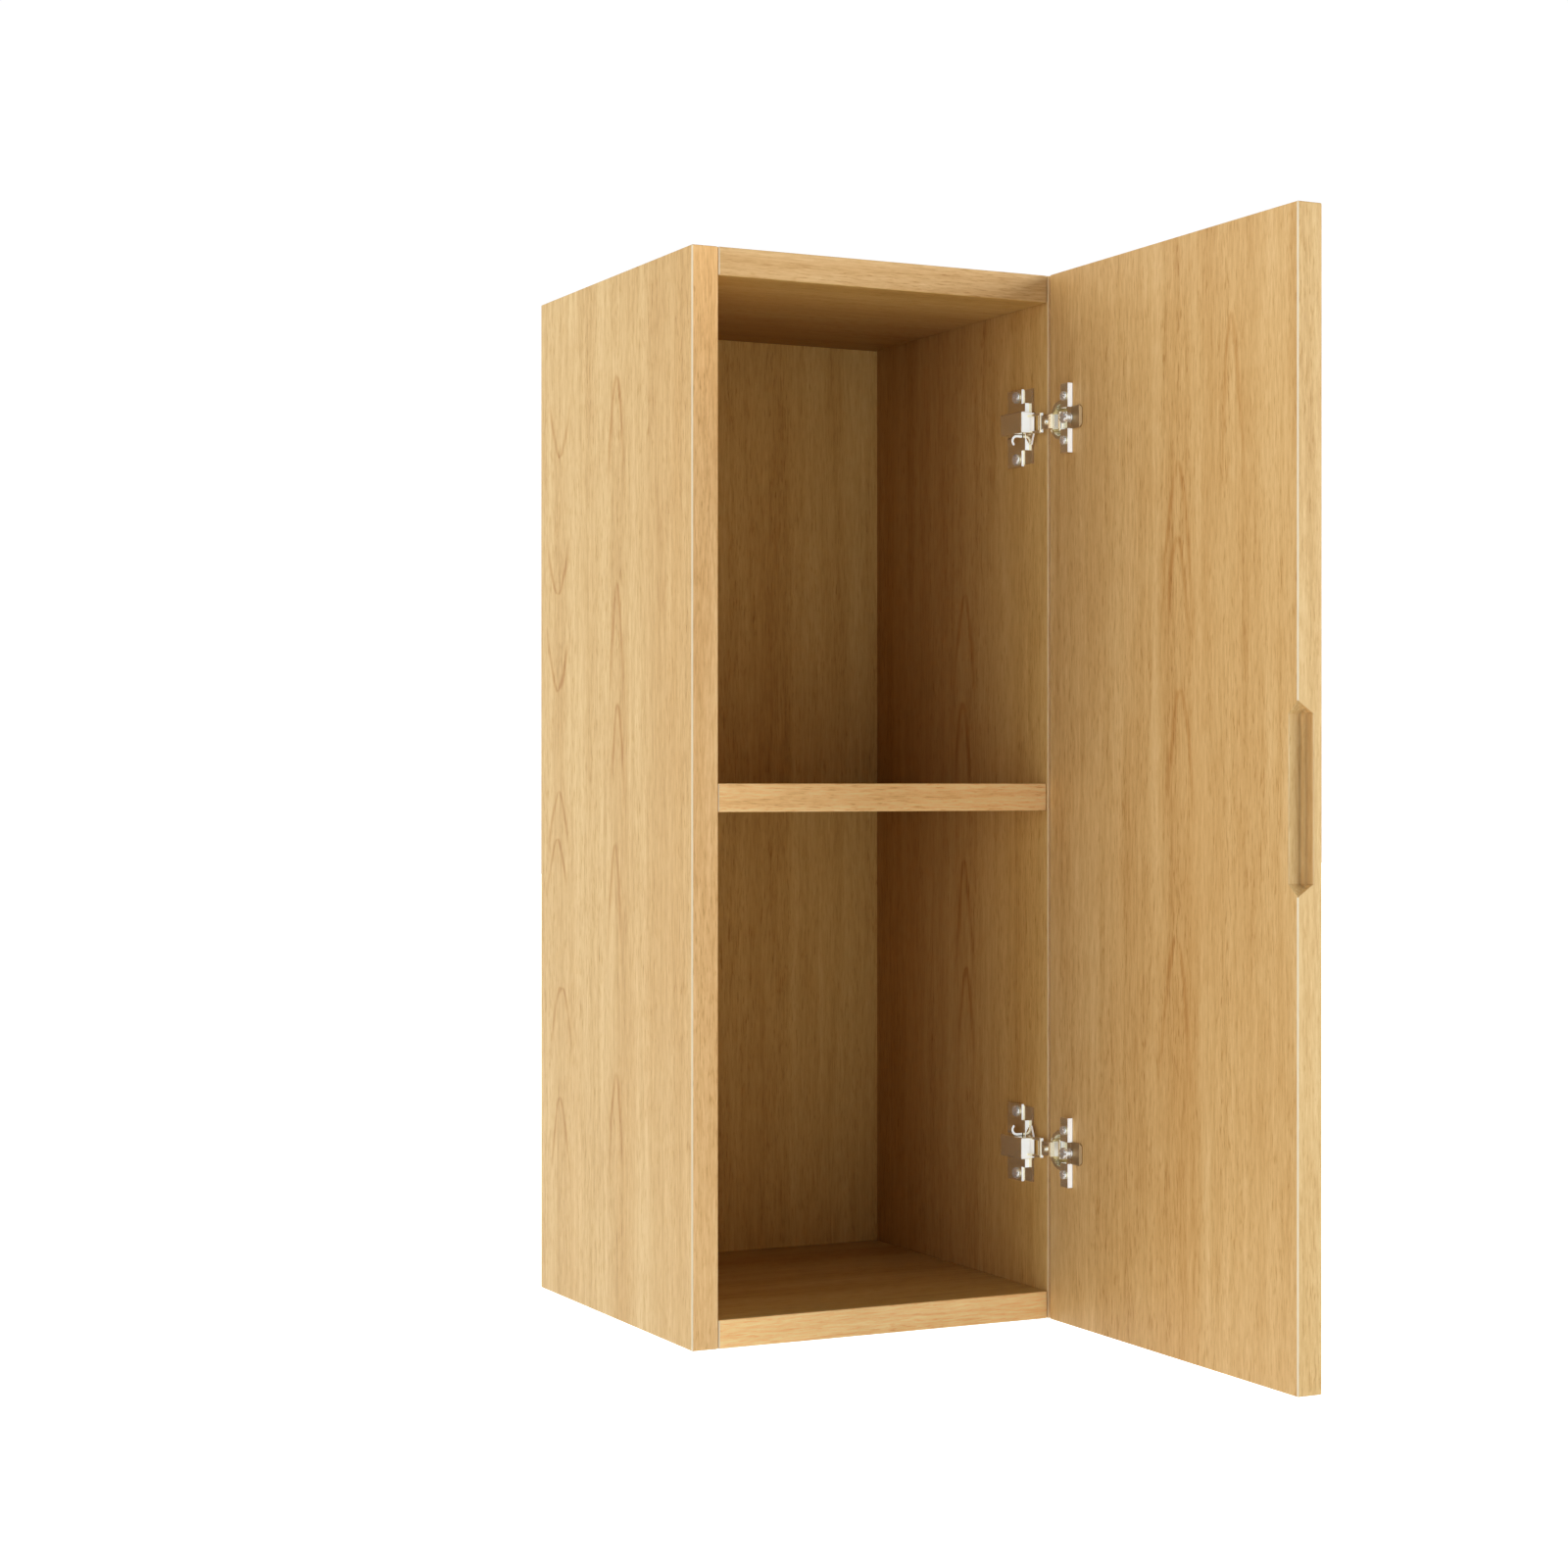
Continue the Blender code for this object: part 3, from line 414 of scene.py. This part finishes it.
def metal(name, color, rough, scratch, painted_reflection_all, tail=NOWHERE):
    """Bright plated metal; its faces that point to the front are painted pale and glow, a painted
    reflection of white surroundings.

    tail: the part in front of this y is painted the colour of the wood beside it, a painted
    reflection.
    """
    graph = Graph(name)
    place = graph.coordinates()
    cloud = graph.noise(place, scale=220.0, detail=2.0)
    x, y, z = graph.split(place)
    drawn = graph.join(
        graph.math("MULTIPLY", x, 900.0), graph.math("MULTIPLY", y, 900.0),
        graph.math("MULTIPLY", z, 9000.0),
    )
    lines = graph.noise(drawn, detail=2.0)
    # Painted reflection: faces that point to the front are painted pale, less metallic and rougher
    front = graph.math("MULTIPLY", graph.split(graph.normal())[1], -1.0)
    painted_reflection = graph.remap(front, 0.86, 0.98, painted_reflection_all, 1.0)
    # Painted reflection of the wood on the part in front of the tail's y
    beside = graph.math("LESS_THAN", y, tail)
    painted_reflection = graph.math("MULTIPLY", painted_reflection, graph.math("SUBTRACT", 1.0, beside))
    shade = graph.math("MULTIPLY_ADD", graph.math("SUBTRACT", cloud, 0.5), 0.25, 0.75, clamp=True)
    dark = tuple(channel * 0.86 for channel in color)
    plated = graph.ramp(shade, [(0.45, dark), (0.8, color)])
    plated = graph.mix(painted_reflection, plated, FRONT_PAINTED_REFLECTION)
    graph.feed(graph.shader.inputs["Base Color"], graph.mix(beside, plated, PAINTED_WOOD_REFLECTION))
    graph.feed(graph.shader.inputs["Metallic"], graph.remap(painted_reflection, 0.0, 1.0, 0.78, 0.15))
    gloss = graph.math("MULTIPLY_ADD", cloud, 0.06, rough)
    gloss = graph.math("MULTIPLY_ADD", lines, scratch, gloss)
    gloss = graph.math("MULTIPLY_ADD", painted_reflection, 0.25, gloss)
    gloss = graph.math("MULTIPLY_ADD", beside, 0.35, gloss)
    graph.feed(graph.shader.inputs["Roughness"], gloss)
    # The painted reflection glows
    graph.shader.inputs["Emission Color"].default_value = FRONT_PAINTED_REFLECTION_GLOW
    glow = graph.math("MULTIPLY", painted_reflection, FRONT_PAINTED_REFLECTION_GLOW_STRENGTH)
    graph.feed(graph.shader.inputs["Emission Strength"], glow)
    graph.bump(lines, 0.10, 0.00005)
    return graph.material


def dress_metal():
    nickel = metal("bright_nickel", NICKEL, 0.08, 0.04, 0.0)
    steel = metal("zinc_steel", ZINC, 0.14, 0.06, 0.10)
    for name in NODES:
        if name.endswith("hinge_cup"):
            tail = box_size(name)[0].y + CUP_TAIL
            dress(name, metal(name + "_nickel", NICKEL, 0.08, 0.04, 0.0, tail))
        elif "hinge" in name and "cam_screw" not in name:
            dress(name, nickel)
        elif "screw" in name or name.endswith("_pin"):
            dress(name, steel)


# Stage -------------------------------------------------------------------

def plain_floor():
    """Lit white floor, far enough below that the hanging cabinet throws no hard shadow on it."""
    low, _ = cad_bounds
    level = low.z - FLOOR_DROP
    reach = FLOOR_REACH
    corners = [
        (-reach, -reach, level), (reach, -reach, level), (reach, reach, level), (-reach, reach, level),
    ]
    data = bpy.data.meshes.new("floor")
    data.from_pydata(corners, [], [(0, 1, 2, 3)])
    floor = bpy.data.objects.new("floor", data)
    bpy.context.scene.collection.objects.link(floor)
    graph = Graph("floor_paint")
    place = graph.coordinates()
    speckle = graph.noise(place, scale=40.0, detail=3.0)
    paint = graph.ramp(speckle, [(0.3, (0.78, 0.78, 0.78)), (0.7, (0.80, 0.80, 0.80))])
    graph.feed(graph.shader.inputs["Base Color"], paint)
    graph.shader.inputs["Roughness"].default_value = 0.9
    graph.shader.inputs["Specular IOR Level"].default_value = 0.0
    glow = graph.remap(graph.split(place)[1], 0.5, 2.5, FLOOR_GLOW_FRONT, FLOOR_GLOW_REAR)
    graph.shader.inputs["Emission Color"].default_value = (1.0, 1.0, 1.0, 1.0)
    graph.feed(graph.shader.inputs["Emission Strength"], glow)
    data.materials.append(graph.material)


def soft_sun(name, turn, lift, strength):
    """Broad lamp that shines from the direction given by turn and lift."""
    data = bpy.data.lights.new(name, "SUN")
    data.angle = radians(SUN_SPREAD)
    data.energy = strength * pi
    lamp = bpy.data.objects.new(name, data)
    toward = Vector((
        sin(radians(turn)) * cos(radians(lift)), -cos(radians(turn)) * cos(radians(lift)),
        sin(radians(lift)),
    ))
    lamp.rotation_euler = toward.to_track_quat("Z", "Y").to_euler()
    bpy.context.scene.collection.objects.link(lamp)


def studio():
    """White behind the cabinet, dim in front of it, and broad lights at the sides."""
    world = bpy.data.worlds.new("studio")
    bpy.context.scene.world = world
    world.use_nodes = True
    nodes = world.node_tree.nodes
    links = world.node_tree.links
    background = nodes["Background"]
    background.inputs["Color"].default_value = (1.0, 1.0, 1.0, 1.0)
    axes = nodes.new("ShaderNodeSeparateXYZ")
    links.new(nodes.new("ShaderNodeTexCoord").outputs["Generated"], axes.inputs[0])
    step = nodes.new("ShaderNodeMapRange")
    step.interpolation_type = "SMOOTHSTEP"
    links.new(axes.outputs[1], step.inputs["Value"])
    step.inputs["From Min"].default_value = -0.1
    step.inputs["From Max"].default_value = 0.5
    step.inputs["To Min"].default_value = SKY_FRONT
    step.inputs["To Max"].default_value = SKY_REAR
    links.new(step.outputs[0], background.inputs["Strength"])
    for name, turn, lift, strength in SUNS:
        soft_sun(name, turn, lift, strength)


def camera():
    low, _ = box_size("left_side_panel")
    data = bpy.data.cameras.new("camera")
    data.lens = CAMERA_LENS
    data.sensor_width = SENSOR
    made = bpy.data.objects.new("camera", data)
    made.location = low + CAMERA_FROM_CORNER
    made.rotation_euler = (radians(90), 0, -radians(CAMERA_TURN))
    bpy.context.scene.collection.objects.link(made)
    bpy.context.scene.camera = made


camera()
dress_boards()
dress_metal()
plain_floor()
studio()
bpy.context.scene.view_settings.view_transform = "Standard"
